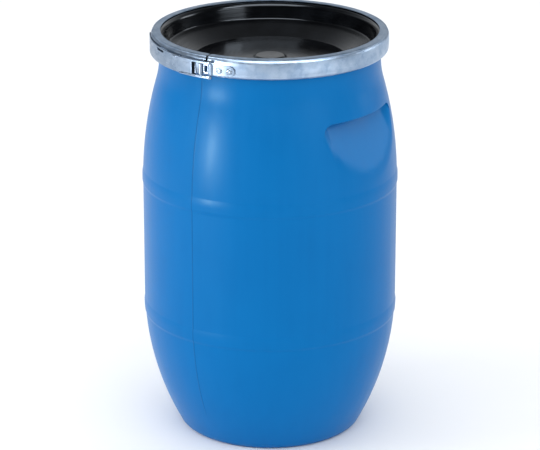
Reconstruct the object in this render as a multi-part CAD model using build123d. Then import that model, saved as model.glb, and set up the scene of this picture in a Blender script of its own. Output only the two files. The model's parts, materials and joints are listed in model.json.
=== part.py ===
from build123d import *
import os
from math import asin, cos, hypot, radians, sin, sqrt

os.makedirs("parts", exist_ok=True)

# A 120 litre open head plastic drum: blow-moulded body, loose lid with a gasket, and a steel
# clamping band with an over-centre lever latch.
# Millimetres, +Z up, origin at the centre of the base. The latch faces -Y and the two hand
# grips face +X and -X. An angle of 0 is at -Y and grows towards +X.

# ---------------------------------------------------------------- barrel
WALL = 4.0
BODY_RADIUS = 245.0
LOWER_TANGENT_Z = 270.0
LOWER_ARC_RADIUS = 545.0
UPPER_TANGENT_Z = 500.0
UPPER_ARC_RADIUS = 712.0
NECK_RADIUS = 211.5
NECK_BLEND_RADIUS = 150.0
BASE_EDGE_RADIUS = 6.0
FOOT_WIDTH = 26.0
BASE_RISE = 8.0
HOOP_HEIGHTS = (244.0, 507.5)
HOOP_WIDTH = 31.0
HOOP_PROUD = 1.5
SEAM_WIDTH = 1.6
SEAM_PROUD = 0.5
SEAM_BOTTOM_Z = 60.0

# ---------------------------------------------------------------- mouth
BEAD_RADIUS = 221.0
BEAD_BOTTOM_Z = 758.2
BEAD_SIDE_TOP_Z = 770.0
BEAD_TOP_Z = 774.0
BEAD_EDGE_RADIUS = 2.0
MOUTH_TOP_Z = 783.1

# ---------------------------------------------------------------- hand grips
GRIP_TOP_Z = 662.0
GRIP_HALF_WIDTH = 105.0
GRIP_CORNER_RADIUS = 18.0
GRIP_DEEP_X = 190.0
GRIP_LOW_Z = 548.0
GRIP_LOW_X = 244.5
GRIP_RUNOUT = 60.0

# ---------------------------------------------------------------- lid and gasket
LID_WALL = 4.0
LID_TOP_Z = 790.9
LID_RADIUS = 222.3
SKIRT_BOTTOM_Z = 779.0
RIM_CORNER_RADIUS = 4.0
RIM_INNER_RADIUS = 203.0
LEDGE_OUTER = (198.0, 758.5)
LEDGE_INNER = (146.0, 735.8)
BOSS_FOOT_RADIUS = 31.0
BOSS_TOP_RADIUS = 26.5
BOSS_RISE = 4.5
LID_BENDS = (7.0, 6.0, 8.0, 3.0, 3.0)
GASKET_INNER_RADIUS = 209.2
GASKET_OUTER_RADIUS = 217.8
GASKET_BOTTOM_Z = 783.4
GASKET_EDGE_RADIUS = 1.0

# ---------------------------------------------------------------- clamping band
BAND_RADIUS = 226.5
BAND_SHEET = 1.5
BAND_TOP_Z = 794.3
BAND_BOTTOM_Z = 756.0
BAND_TOP_LIP_RADIUS = 208.6
BAND_LOW_LIP_RADIUS = 215.0
BAND_SHOULDER_RADIUS = 8.2
BAND_LOW_BEND_RADIUS = 5.0
LIP_WIDTH = 5.0
LIP_DROOP = 1.2
LIP_BEND_RADIUS = 6.0
GAP_ANGLE = 5.4
GAP_WIDTH = 4.5

# ---------------------------------------------------------------- latch
LATCH_Z = 770.0
PIVOT_RADIUS = 233.0
PIVOT_ANGLE = 8.05
HOOK_PIN_RADIUS = 231.1
HOOK_PIN_ANGLE = 3.05
PIN_R = 2.5
RUNNING_GAP = 0.05
THROUGH = 60.0
PLATE = 1.8
PLATE_GAP = 0.2

LEVER_SHEET = 1.6
LEVER_HEIGHT = 31.0
LEVER_FREE_ANGLE = -56.5
LEVER_MIDDLE_ANGLE = -32.0
LEVER_STEP_ANGLE = -9.6
LEVER_WINDOW_ANGLE = -1.2
LEVER_FREE_RADIUS = 227.1
LEVER_MIDDLE_RADIUS = 228.6
LEVER_WINDOW_RADIUS = 234.6
LEVER_SPREAD = 1.4
LEVER_END_CORNER = 8.0
EAR_HEIGHT = 27.4
EAR_WIDTH = 7.6
EAR_START_ANGLE = -5.5
LEVER_SLOT_ANGLE = -26.2
LEVER_SLOT = (30.0, 4.6)
LEVER_SLOT_RISE = 10.8
LEVER_BUMP_ANGLE = -13.0
LEVER_BUMP = (16.0, 6.0)
LEVER_BUMP_HEIGHT = 2.6
LEVER_BUMP_RISE = 11.5

BRACKET_HEIGHT = 31.0
BRACKET_SHEET = 1.6
BRACKET_START_ANGLE = -8.5
BRACKET_END_ANGLE = -0.5
BRACKET_ARM_WIDTH = 9.0
BRACKET_RIVET_ANGLE = -4.5
BRACKET_RIVET_RISE = 6.0

TONGUE_HEIGHT = 20.0
TONGUE_END_ANGLE = 20.1
TONGUE_RIB_RADIUS = 4.8
TONGUE_END_RADIUS = 9.9
TONGUE_RIVET_ANGLES = (12.3, 17.4)
TONGUE_WINDOW_ANGLE = 5.5
TONGUE_WINDOW = (7.0, 12.0)
CURL_OPEN_ANGLE = 60.0
CURL_MOUTH = 5.7

RIVET_SHANK_R = 2.5
HEAD_ROUNDING = 0.8
TONGUE_RIVET_HEAD = (6.0, 2.2)
BRACKET_RIVET_HEAD = (4.5, 1.9)
RIVET_CLINCH = (4.0, 0.9)
PIVOT_RIVET_HEAD = (4.2, 1.6)
PIVOT_RIVET_CLINCH = (3.4, 0.7)


def polar(radius, angle):
    """The plan position at a radius and an angle from -Y towards +X."""
    return (radius * sin(radians(angle)), -radius * cos(radians(angle)))


def turned_face(points, radii):
    """A closed section in the XZ plane, with each corner rounded by its own radius."""
    rounded = FilletPolyline(*points, radius=radii, close=True)
    return make_face(Plane.XZ * rounded)


def turned_sheet(points, radii, thickness):
    """A bent sheet's section in the XZ plane, from its middle line."""
    return Plane.XZ * trace(FilletPolyline(*points, radius=radii), thickness)


def turn(section):
    return revolve(section, Axis.Z, 360)


# ---------------------------------------------------------------- barrel

def lower_radius(z):
    """The barrel's outer radius below its widest stretch."""
    centre = BODY_RADIUS - LOWER_ARC_RADIUS
    return centre + sqrt(LOWER_ARC_RADIUS**2 - (LOWER_TANGENT_Z - z) ** 2)


def neck_blend():
    """Where the barrel's upper arc meets the neck blend: (radius, z) of its start, middle and end."""
    arc_centre = BODY_RADIUS - UPPER_ARC_RADIUS
    blend_centre = NECK_RADIUS + NECK_BLEND_RADIUS
    reach = UPPER_ARC_RADIUS + NECK_BLEND_RADIUS
    turn_angle = asin(sqrt(reach**2 - (blend_centre - arc_centre) ** 2) / reach)
    end_z = UPPER_TANGENT_Z + reach * sin(turn_angle)
    marks = []
    for share in (1.0, 0.5, 0.0):
        angle = turn_angle * share
        radius = blend_centre - NECK_BLEND_RADIUS * cos(angle)
        marks.append((radius, end_z - NECK_BLEND_RADIUS * sin(angle)))
    return marks


def barrel_solid(inset):
    """The barrel up to the top of the mouth, solid, with its surface moved in by inset."""
    bottom = 0.0
    if inset:
        bottom = BASE_RISE + inset
    start, middle, end = neck_blend()
    upper_mid_z = (UPPER_TANGENT_Z + start[1]) / 2
    upper_centre = BODY_RADIUS - UPPER_ARC_RADIUS
    upper_mid = upper_centre + sqrt(UPPER_ARC_RADIUS**2 - (upper_mid_z - UPPER_TANGENT_Z) ** 2)
    lower_mid_z = (bottom + LOWER_TANGENT_Z) / 2
    top = MOUTH_TOP_Z + inset
    foot = (lower_radius(bottom) - inset, bottom)
    lines = [
        Line((0, bottom), foot),
        ThreePointArc(
            foot,
            (lower_radius(lower_mid_z) - inset, lower_mid_z),
            (BODY_RADIUS - inset, LOWER_TANGENT_Z),
        ),
        Line((BODY_RADIUS - inset, LOWER_TANGENT_Z), (BODY_RADIUS - inset, UPPER_TANGENT_Z)),
        ThreePointArc(
            (BODY_RADIUS - inset, UPPER_TANGENT_Z),
            (upper_mid - inset, upper_mid_z),
            (start[0] - inset, start[1]),
        ),
        ThreePointArc(
            (start[0] - inset, start[1]),
            (middle[0] - inset, middle[1]),
            (end[0] - inset, end[1]),
        ),
        Line((end[0] - inset, end[1]), (end[0] - inset, top)),
        Line((end[0] - inset, top), (0, top)),
        Line((0, top), (0, bottom)),
    ]
    return turn(Plane.XZ * make_face(lines))


def base_hollow():
    """The raised middle of the base, which leaves a ring to stand on."""
    rim = lower_radius(0) - FOOT_WIDTH
    return Cone(rim, rim - BASE_RISE, BASE_RISE, align=(Align.CENTER, Align.CENTER, Align.MIN))


def mouth_bead():
    """The bead that the band's lower lip pulls on."""
    inner = NECK_RADIUS - WALL / 2
    points = [
        (inner, BEAD_BOTTOM_Z),
        (BEAD_RADIUS, BEAD_BOTTOM_Z),
        (BEAD_RADIUS, BEAD_SIDE_TOP_Z),
        (NECK_RADIUS + WALL / 2, BEAD_TOP_Z),
        (inner, BEAD_TOP_Z),
    ]
    e = BEAD_EDGE_RADIUS
    return turn(turned_face(points, [0, e, e, 0, 0]))


def hoop(height):
    """A low rolling hoop with sloping edges."""
    half = HOOP_WIDTH / 2
    flat = half - HOOP_PROUD * 2
    points = [
        (BODY_RADIUS - WALL / 2, height - half),
        (BODY_RADIUS, height - half),
        (BODY_RADIUS + HOOP_PROUD, height - flat),
        (BODY_RADIUS + HOOP_PROUD, height + flat),
        (BODY_RADIUS, height + half),
        (BODY_RADIUS - WALL / 2, height + half),
    ]
    return turn(Plane.XZ * make_face(Polyline(*points, close=True)))


def seam():
    """The mould's parting line: a fine raised line down the front and the back."""
    raised = barrel_solid(-SEAM_PROUD)
    height = BEAD_BOTTOM_Z - SEAM_BOTTOM_Z
    strip = Pos(0, 0, SEAM_BOTTOM_Z + height / 2) * Box(SEAM_WIDTH, 3 * BODY_RADIUS, height)
    return raised & strip


def grip_cutter(deeper):
    """What a hand grip takes out of the barrel on +X. Deeper moves its walls into the barrel."""
    far_x = BODY_RADIUS + GRIP_RUNOUT
    top = GRIP_TOP_Z + deeper
    half_width = GRIP_HALF_WIDTH + deeper
    tilt = (GRIP_LOW_X - GRIP_DEEP_X) / (GRIP_TOP_Z - GRIP_LOW_Z)
    shift = deeper * hypot(1, tilt)
    low_z = GRIP_LOW_Z - GRIP_RUNOUT
    low_x = GRIP_LOW_X + GRIP_RUNOUT * tilt - shift
    top_x = GRIP_DEEP_X - deeper * tilt - shift
    side = Polyline((top_x, top), (low_x, low_z), (far_x, low_z), (far_x, top), close=True)
    wedge = extrude(Plane.XZ * make_face(side), amount=half_width, both=True)
    corners = wedge.edges().filter_by(Axis.X).group_by(Axis.Z)[-1]
    return fillet(corners, GRIP_CORNER_RADIUS + deeper)


def drum_body():
    """The blow-moulded drum: barrel, hoops, mouth bead, parting line and two hand grips."""
    outside = barrel_solid(0)
    rim = outside.edges().group_by(Axis.Z)[0]
    outside = fillet(rim, BASE_EDGE_RADIUS)
    outside = outside + mouth_bead() + seam()
    for height in HOOP_HEIGHTS:
        outside = outside + hoop(height)
    outside = outside - base_hollow()
    inside = barrel_solid(WALL)
    for turn_by in (0, 180):
        outside = outside - Rot(0, 0, turn_by) * grip_cutter(0)
        inside = inside - Rot(0, 0, turn_by) * grip_cutter(WALL)
    return outside - inside


# ---------------------------------------------------------------- lid and gasket

def lid():
    """The lid: a channel that sits on the mouth, a sloping ledge, and a floor with a raised disc."""
    half = LID_WALL / 2
    floor_z = LEDGE_INNER[1]
    points = [
        (LID_RADIUS - half, SKIRT_BOTTOM_Z),
        (LID_RADIUS - half, LID_TOP_Z - half),
        (RIM_INNER_RADIUS, LID_TOP_Z - half),
        LEDGE_OUTER,
        LEDGE_INNER,
        (BOSS_FOOT_RADIUS, floor_z),
        (BOSS_TOP_RADIUS, floor_z + BOSS_RISE),
        (0, floor_z + BOSS_RISE),
    ]
    return turn(turned_sheet(points, [RIM_CORNER_RADIUS - half, *LID_BENDS], LID_WALL))


def lid_gasket():
    """The sealing ring in the lid's channel."""
    top = LID_TOP_Z - LID_WALL
    points = [
        (GASKET_INNER_RADIUS, GASKET_BOTTOM_Z),
        (GASKET_OUTER_RADIUS, GASKET_BOTTOM_Z),
        (GASKET_OUTER_RADIUS, top),
        (GASKET_INNER_RADIUS, top),
    ]
    e = GASKET_EDGE_RADIUS
    return turn(turned_face(points, [e, e, 0, 0]))


# ---------------------------------------------------------------- clamping band

def rivet_hole(angle, rise, radius):
    """A round hole cutter, pointing out from the drum's axis."""
    x, y = polar(BAND_RADIUS, angle)
    out = Plane(origin=(x, y, LATCH_Z + rise), z_dir=(x, y, 0))
    return out * Cylinder(radius, THROUGH)


def clamp_band():
    """The channel-shaped steel band: one open ring with a narrow gap at the latch."""
    half = BAND_SHEET / 2
    middle = BAND_RADIUS - half
    points = [
        (BAND_TOP_LIP_RADIUS, BAND_TOP_Z - half - LIP_DROOP),
        (BAND_TOP_LIP_RADIUS + LIP_WIDTH, BAND_TOP_Z - half),
        (middle, BAND_TOP_Z - half),
        (middle, BAND_BOTTOM_Z + half),
        (BAND_LOW_LIP_RADIUS, BAND_BOTTOM_Z + half),
    ]
    radii = [LIP_BEND_RADIUS, BAND_SHOULDER_RADIUS - half, BAND_LOW_BEND_RADIUS - half]
    ring = turn(turned_sheet(points, radii, BAND_SHEET))
    gap = Box(GAP_WIDTH, THROUGH, THROUGH)
    ring = ring - Rot(0, 0, GAP_ANGLE) * Pos(0, -BAND_RADIUS, LATCH_Z) * gap
    hole = RIVET_SHANK_R + 2 * RUNNING_GAP
    for angle in TONGUE_RIVET_ANGLES:
        ring = ring - rivet_hole(angle, 0, hole)
    for rise in (-BRACKET_RIVET_RISE, BRACKET_RIVET_RISE):
        ring = ring - rivet_hole(BRACKET_RIVET_ANGLE, rise, hole)
    return ring


# ---------------------------------------------------------------- latch

def sector(inner, outer, start, end):
    """A plan sector between two radii and two angles."""
    middle = (start + end) / 2
    return make_face(
        [
            ThreePointArc(polar(inner, start), polar(inner, middle), polar(inner, end)),
            Line(polar(inner, end), polar(outer, end)),
            ThreePointArc(polar(outer, end), polar(outer, middle), polar(outer, start)),
            Line(polar(outer, start), polar(inner, start)),
        ]
    )


def arm(width, start, end):
    """A plan strip about the pivot's circle, with a round end on the pivot."""
    strip = sector(PIVOT_RADIUS - width / 2, PIVOT_RADIUS + width / 2, start, end)
    return strip + Pos(*polar(PIVOT_RADIUS, end)) * Circle(width / 2)


def layer(plan, low, high):
    """A plan shape given thickness between two heights."""
    return Pos(0, 0, low) * extrude(plan, amount=high - low)


def pair_of_plates(plan, height, sheet):
    """The same plate at the top and at the bottom of a height centred on the latch."""
    low = LATCH_Z - height / 2
    high = LATCH_Z + height / 2
    return layer(plan, low, low + sheet) + layer(plan, high - sheet, high)


def latch_bracket():
    """The bracket on the band's left end: a base with two arms that reach over the gap."""
    low = LATCH_Z - BRACKET_HEIGHT / 2
    base_inner = BAND_RADIUS + PLATE_GAP
    base = layer(
        sector(base_inner, base_inner + BRACKET_SHEET, BRACKET_START_ANGLE, BRACKET_END_ANGLE),
        low,
        low + BRACKET_HEIGHT,
    )
    root = sector(base_inner, PIVOT_RADIUS, BRACKET_START_ANGLE, BRACKET_END_ANGLE)
    plan = root + arm(BRACKET_ARM_WIDTH, BRACKET_START_ANGLE, PIVOT_ANGLE)
    bracket = base + pair_of_plates(plan, BRACKET_HEIGHT, BRACKET_SHEET)
    bracket = bracket - Pos(*polar(PIVOT_RADIUS, PIVOT_ANGLE), LATCH_Z) * Cylinder(PIN_R, THROUGH)
    for rise in (-BRACKET_RIVET_RISE, BRACKET_RIVET_RISE):
        bracket = bracket - rivet_hole(BRACKET_RIVET_ANGLE, rise, RIVET_SHANK_R)
    return bracket


def facing_plane(point, rise):
    """A plane at a plan point, facing away from the drum's axis, with its x along the ring."""
    x, y = point
    return Plane(origin=(x, y, LATCH_Z + rise), x_dir=(-y, x, 0), z_dir=(x, y, 0))


def lever_arc(offset):
    """The lever's curve in plan, from its free end to its window, and its three points."""
    marks = [
        polar(LEVER_FREE_RADIUS + offset, LEVER_FREE_ANGLE),
        polar(LEVER_MIDDLE_RADIUS + offset, LEVER_MIDDLE_ANGLE),
        polar(LEVER_WINDOW_RADIUS + offset, LEVER_WINDOW_ANGLE),
    ]
    return ThreePointArc(*marks), marks


def lever_strip():
    """The lever's curved strip, lower in height where it runs between the bracket's arms."""
    inner, inner_marks = lever_arc(0)
    outer, outer_marks = lever_arc(LEVER_SHEET)
    ends = [Line(inner_marks[n], outer_marks[n]) for n in (0, 2)]
    low = LATCH_Z - LEVER_HEIGHT / 2
    strip = layer(make_face([inner, outer, *ends]), low, low + LEVER_HEIGHT)
    free_end = strip.faces().sort_by(Axis.X)[0]
    corners = free_end.edges().filter_by(lambda e: e.length < 2 * LEVER_SHEET)
    strip = fillet(corners, LEVER_END_CORNER)
    narrow = sector(
        LEVER_FREE_RADIUS - PLATE,
        LEVER_WINDOW_RADIUS + LEVER_SHEET + PLATE,
        LEVER_STEP_ANGLE,
        LEVER_WINDOW_ANGLE + 1,
    )
    for side in (-1, 1):
        near = LATCH_Z + side * EAR_HEIGHT / 2
        far = LATCH_Z + side * LEVER_HEIGHT
        strip = strip - layer(narrow, min(near, far), max(near, far))
    return strip


def lever_radius(angle):
    """The lever's outside radius at an angle between its middle and its window."""
    share = (angle - LEVER_MIDDLE_ANGLE) / (LEVER_WINDOW_ANGLE - LEVER_MIDDLE_ANGLE)
    rise = LEVER_WINDOW_RADIUS - LEVER_MIDDLE_RADIUS
    return LEVER_MIDDLE_RADIUS + rise * share**LEVER_SPREAD + LEVER_SHEET


def latch_lever():
    """The lever: a curved strip against the band, with two ears that hold its pins."""
    lever = lever_strip()
    slot = facing_plane(polar(lever_radius(LEVER_SLOT_ANGLE), LEVER_SLOT_ANGLE), LEVER_SLOT_RISE)
    lever = lever - extrude(slot * SlotOverall(*LEVER_SLOT), amount=PLATE * 3, both=True)
    ears = pair_of_plates(arm(EAR_WIDTH, EAR_START_ANGLE, PIVOT_ANGLE), EAR_HEIGHT, LEVER_SHEET)
    lever = lever + ears
    surface = polar(lever_radius(LEVER_BUMP_ANGLE) - LEVER_SHEET / 2, LEVER_BUMP_ANGLE)
    bump = extrude(facing_plane(surface, LEVER_BUMP_RISE) * SlotOverall(*LEVER_BUMP), LEVER_BUMP_HEIGHT)
    lever = lever + bump
    pivot_hole = Cylinder(PIN_R + RUNNING_GAP, THROUGH)
    lever = lever - Pos(*polar(PIVOT_RADIUS, PIVOT_ANGLE), LATCH_Z) * pivot_hole
    return lever - Pos(*polar(HOOK_PIN_RADIUS, HOOK_PIN_ANGLE), LATCH_Z) * Cylinder(PIN_R, THROUGH)


def hook_pin():
    """The pin across the lever that the tongue's curl pulls on."""
    return Pos(*polar(HOOK_PIN_RADIUS, HOOK_PIN_ANGLE), LATCH_Z) * Cylinder(PIN_R, EAR_HEIGHT)


def pivot_rivet(side):
    """A rivet through one bracket arm and one lever ear. Side is 1 for the top, -1 for the bottom."""
    x, y = polar(PIVOT_RADIUS, PIVOT_ANGLE)
    head_r, head_height = PIVOT_RIVET_HEAD
    clinch_r, clinch_height = PIVOT_RIVET_CLINCH
    outer = BRACKET_HEIGHT / 2
    inner = EAR_HEIGHT / 2 - LEVER_SHEET - 2 * RUNNING_GAP
    bottom = (Align.CENTER, Align.CENTER, Align.MIN)
    shank = Pos(0, 0, inner) * Cylinder(PIN_R, outer - inner, align=bottom)
    head = Pos(0, 0, outer) * Cylinder(head_r, head_height, align=bottom)
    head = fillet(head.edges().group_by(Axis.Z)[-1], HEAD_ROUNDING * head_height)
    clinch = Pos(0, 0, inner - clinch_height) * Cylinder(clinch_r, clinch_height, align=bottom)
    rivet = shank + head + clinch
    if side < 0:
        rivet = mirror(rivet, Plane.XY)
    return Pos(x, y, LATCH_Z) * rivet


def tongue_plate():
    """The strap on the band's right end: flat against the band, ribbed, and curled round its pin."""
    inner = BAND_RADIUS + PLATE_GAP
    outer = inner + PLATE
    middle_r = (inner + outer) / 2
    plan = sector(inner, outer, HOOK_PIN_ANGLE, TONGUE_END_ANGLE)
    rib_centre = Pos(*polar(inner, PIVOT_ANGLE)) * Rot(0, 0, PIVOT_ANGLE)
    beyond = Pos(0, -THROUGH / 2) * Rectangle(THROUGH, THROUGH)
    plan = plan + rib_centre * (Circle(TONGUE_RIB_RADIUS) & beyond)
    plan = plan - rib_centre * Circle(TONGUE_RIB_RADIUS - PLATE)
    curl_inner = PIN_R + 2 * RUNNING_GAP
    curl_centre = Pos(*polar(HOOK_PIN_RADIUS, HOOK_PIN_ANGLE)) * Rot(0, 0, HOOK_PIN_ANGLE)
    curl_outer = HOOK_PIN_RADIUS - inner
    mouth = Pos(THROUGH / 2, 0) * Rectangle(THROUGH, CURL_MOUTH)
    open_side = Rot(0, 0, -CURL_OPEN_ANGLE / 2) * mouth
    curl = Circle(curl_outer) - open_side
    plan = plan + curl_centre * curl
    plan = plan - curl_centre * Circle(curl_inner)
    low = LATCH_Z - TONGUE_HEIGHT / 2
    plate = layer(plan, low, low + TONGUE_HEIGHT)
    x, y = polar(middle_r, TONGUE_END_ANGLE / 2)
    across = facing_plane((x, y), 0)
    half_length = middle_r * sin(radians(TONGUE_END_ANGLE / 2))
    outline = Pos(-half_length, 0) * Rectangle(4 * half_length, TONGUE_HEIGHT)
    outline = fillet(outline.vertices().group_by(Axis.X)[-1], TONGUE_END_RADIUS)
    plate = plate & extrude(across * outline, amount=THROUGH / 2, both=True)
    for angle in TONGUE_RIVET_ANGLES:
        plate = plate - rivet_hole(angle, 0, RIVET_SHANK_R)
    window = facing_plane(polar(middle_r, TONGUE_WINDOW_ANGLE), 0)
    return plate - extrude(window * Rectangle(*TONGUE_WINDOW), amount=PLATE * 2, both=True)


def flat_rivet(angle, rise, head_size, sheet):
    """A rivet that holds a plate of the given sheet to the outside of the band."""
    head_r, head_height = head_size
    clinch_r, clinch_height = RIVET_CLINCH
    seat = BAND_RADIUS + PLATE_GAP + sheet
    inside = BAND_RADIUS - BAND_SHEET - 2 * RUNNING_GAP
    bottom = (Align.CENTER, Align.CENTER, Align.MIN)
    shank = Pos(0, 0, inside) * Cylinder(RIVET_SHANK_R, seat - inside, align=bottom)
    head = Pos(0, 0, seat) * Cylinder(head_r, head_height, align=bottom)
    head = fillet(head.edges().group_by(Axis.Z)[-1], HEAD_ROUNDING * head_height)
    clinch = Pos(0, 0, inside - clinch_height) * Cylinder(clinch_r, clinch_height, align=bottom)
    x, y = polar(1, angle)
    out = Plane(origin=(0, 0, LATCH_Z + rise), z_dir=(x, y, 0))
    return out * (shank + head + clinch)


def parts():
    """Every node's name and its shape."""
    made = {
        "drum_body": drum_body(),
        "lid": lid(),
        "lid_gasket": lid_gasket(),
        "clamp_band": clamp_band(),
        "latch_bracket": latch_bracket(),
        "latch_lever": latch_lever(),
        "hook_pin": hook_pin(),
        "pivot_rivet_upper": pivot_rivet(1),
        "pivot_rivet_lower": pivot_rivet(-1),
        "tongue_plate": tongue_plate(),
    }
    for number, angle in enumerate(TONGUE_RIVET_ANGLES, 1):
        made[f"tongue_rivet_{number}"] = flat_rivet(angle, 0, TONGUE_RIVET_HEAD, PLATE)
    for number, rise in enumerate((-BRACKET_RIVET_RISE, BRACKET_RIVET_RISE), 1):
        made[f"bracket_rivet_{number}"] = flat_rivet(
            BRACKET_RIVET_ANGLE, rise, BRACKET_RIVET_HEAD, BRACKET_SHEET
        )
    return made


for name, shape in parts().items():
    export_step(shape, f"parts/{name}.step")
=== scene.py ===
import json
from math import acos, atan2, cos, hypot, pi, radians, sin, sqrt, tan

import bmesh
import bpy
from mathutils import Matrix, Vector


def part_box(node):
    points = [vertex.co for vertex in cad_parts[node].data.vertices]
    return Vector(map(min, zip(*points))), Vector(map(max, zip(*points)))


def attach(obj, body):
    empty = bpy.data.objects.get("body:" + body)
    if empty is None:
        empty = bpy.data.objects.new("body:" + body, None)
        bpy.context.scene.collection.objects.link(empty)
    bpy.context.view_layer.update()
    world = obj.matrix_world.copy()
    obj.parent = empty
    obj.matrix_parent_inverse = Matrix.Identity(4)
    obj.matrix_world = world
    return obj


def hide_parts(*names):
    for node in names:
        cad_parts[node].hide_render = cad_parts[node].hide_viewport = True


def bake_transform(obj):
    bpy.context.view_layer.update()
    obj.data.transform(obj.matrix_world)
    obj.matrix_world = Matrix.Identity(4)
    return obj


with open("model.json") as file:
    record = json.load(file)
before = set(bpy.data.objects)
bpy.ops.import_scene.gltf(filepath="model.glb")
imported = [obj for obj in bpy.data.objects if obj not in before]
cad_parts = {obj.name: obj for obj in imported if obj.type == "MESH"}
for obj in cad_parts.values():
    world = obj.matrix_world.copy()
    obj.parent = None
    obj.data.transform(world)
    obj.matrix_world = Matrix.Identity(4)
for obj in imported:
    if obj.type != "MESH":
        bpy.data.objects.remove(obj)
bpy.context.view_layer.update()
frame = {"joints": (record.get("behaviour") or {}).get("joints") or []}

JOINTS = {j["name"]: j for j in frame["joints"]}

# ------------------------------------------------------------------ sizes, in metres
# An angle of 0 is at -Y and grows towards +X.
MM = 0.001
UP = Vector((0, 0, 1))
drum_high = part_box("drum_body")[1]
band_low, band_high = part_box("clamp_band")
lid_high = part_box("lid")[1]
gasket_low, gasket_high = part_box("lid_gasket")
PIVOT = Vector(JOINTS["lever_swing"]["pos_m"])
SPRING_POINT = Vector(JOINTS["band_opening"]["pos_m"])
LATCH_Z = PIVOT.z
PIVOT_RADIUS = hypot(PIVOT.x, PIVOT.y)
PIVOT_ANGLE = atan2(PIVOT.x, -PIVOT.y)

HOOP_PROUD = 1.5 * MM
BODY_RADIUS = drum_high.x - HOOP_PROUD
MOUTH_TOP = drum_high.z
WALL = 4 * MM
LOWER_TANGENT_Z = 270 * MM
LOWER_ARC = 545 * MM
UPPER_TANGENT_Z = 500 * MM
UPPER_ARC = 712 * MM
NECK_RADIUS = 211.5 * MM
NECK_BLEND = 150 * MM
BEAD_RADIUS = 221 * MM
BEAD_BOTTOM = 758.2 * MM
BEAD_TOP = 774 * MM
FOOT_WIDTH = 26 * MM
BASE_RISE = 8 * MM
SIDE_BOTTOM = 6 * MM
HOOP_HEIGHTS = (244 * MM, 507.5 * MM)
HOOP_HALF = 15.5 * MM
HOOP_EDGE = 7 * MM
SEAM_PROUD = 0.45 * MM
SEAM_HALF = 0.8 * MM
SEAM_BOTTOM = 60 * MM
SEAM_FADE = 30 * MM

# A grip is a flat cut that leans out downwards: it is GRIP_DEEP_X from the drum's middle plane at
# GRIP_TOP and GRIP_LOW_X from it at GRIP_LOW. GRIP_FACING is the least sine of an angle in it.
GRIP_TOP = 662 * MM
GRIP_HALF = 105 * MM
GRIP_CORNER = 18 * MM
GRIP_DEEP_X = 190 * MM
GRIP_LOW = 548 * MM
GRIP_LOW_X = 244.5 * MM
GRIP_CHEEK = 16 * MM
GRIP_CHEEK_RISE = 9 * MM
GRIP_SOFTNESS = 7 * MM
GRIP_BEND_HEIGHT = 60 * MM
GRIP_FACING = 0.5

LID_SHEET = 4 * MM
SKIRT_BOTTOM = 779 * MM
RIM_INNER_RADIUS = 203 * MM
# The two ends of the lid's sloping ledge, as radius and height of the sheet's middle.
LEDGE_OUTER = (198 * MM, 758.5 * MM)
LEDGE_INNER = (146 * MM, 735.8 * MM)
DISC_FOOT_RADIUS = 31 * MM
DISC_TOP_RADIUS = 26.5 * MM
DISC_RISE = 4.5 * MM
# The bend radii of the lid's sheet, from the skirt's top in to the disc.
LID_BENDS = (2.1 * MM, 7 * MM, 6 * MM, 8 * MM, 3 * MM, 3 * MM)
GASKET_INNER_RADIUS = 209.2 * MM
GASKET_DENT = 0.35 * MM

BAND_RADIUS = band_high.x
BAND_TOP = band_high.z
BAND_BOTTOM = band_low.z
BAND_SHEET = 1.5 * MM
# The bend radii of the band's sheet: top lip, shoulder, lower bend.
BAND_BENDS = (6 * MM, 7.45 * MM, 4.25 * MM)
TOP_LIP_RADIUS = 208.6 * MM
TOP_LIP_BEND = 213.6 * MM
TOP_LIP_DROOP = 0.5 * MM
LOWER_LIP_RADIUS = 215 * MM
CROWN_DEPTH = 1 * MM
CROWN_HALF = 15 * MM
GROOVE_RISE = 7.5 * MM
GROOVE_HALF = 2.4 * MM
GROOVE_DEPTH = 0.55 * MM
BAND_CORNER = 5 * MM
GAP_ANGLE = radians(5.4)
GAP_HALF = 2.25 * MM
SPRUNG_ARC = radians(40)


# ------------------------------------------------------------------ plan geometry

def polar(radius, angle):
    """The plan position at a radius and an angle from -Y towards +X."""
    return Vector((radius * sin(angle), -radius * cos(angle)))


def spot(radius, angle, height):
    """The place at a radius, an angle and a height about the drum's axis."""
    return Vector((*polar(radius, angle), height))


def arc(radius, start, end, count):
    """Plan points along an arc about the drum's axis, both ends among them."""
    return [polar(radius, start + (end - start) * n / count) for n in range(count + 1)]


def turned(v, angle):
    """A plan vector turned to the left."""
    return Vector((v.x * cos(angle) - v.y * sin(angle), v.x * sin(angle) + v.y * cos(angle)))


def circle_through(first, second, third):
    """The centre and the radius of the circle through three plan points."""
    a = second - first
    b = third - first
    area = 2 * (a.x * b.y - a.y * b.x)
    aa = a.length_squared
    bb = b.length_squared
    offset = Vector((b.y * aa - a.y * bb, a.x * bb - b.x * aa)) / area
    return first + offset, offset.length


def smooth_step(value):
    """A value held between 0 and 1, with a soft start and end."""
    value = max(0.0, min(1.0, value))
    return value * value * (3 - 2 * value)


def soft_min(a, b, width):
    """The smaller of two values, blended where they are closer than the width."""
    share = max(0.0, min(1.0, 0.5 + 0.5 * (b - a) / width))
    return b + (a - b) * share - width * share * (1 - share)


def corner_setback(near, corner):
    """How far a strip's end steps back for a round corner, at a distance in from the edge."""
    if near >= corner:
        return 0.0
    return corner - sqrt(max(0.0, corner**2 - (corner - near) ** 2))


# ------------------------------------------------------------------ materials

def add(tree, kind, inputs=None, **settings):
    """A shader node with its settings and unlinked inputs."""
    node = tree.nodes.new(kind)
    for name, value in settings.items():
        setattr(node, name, value)
    for name, value in (inputs or {}).items():
        node.inputs[name].default_value = value
    return node


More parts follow.
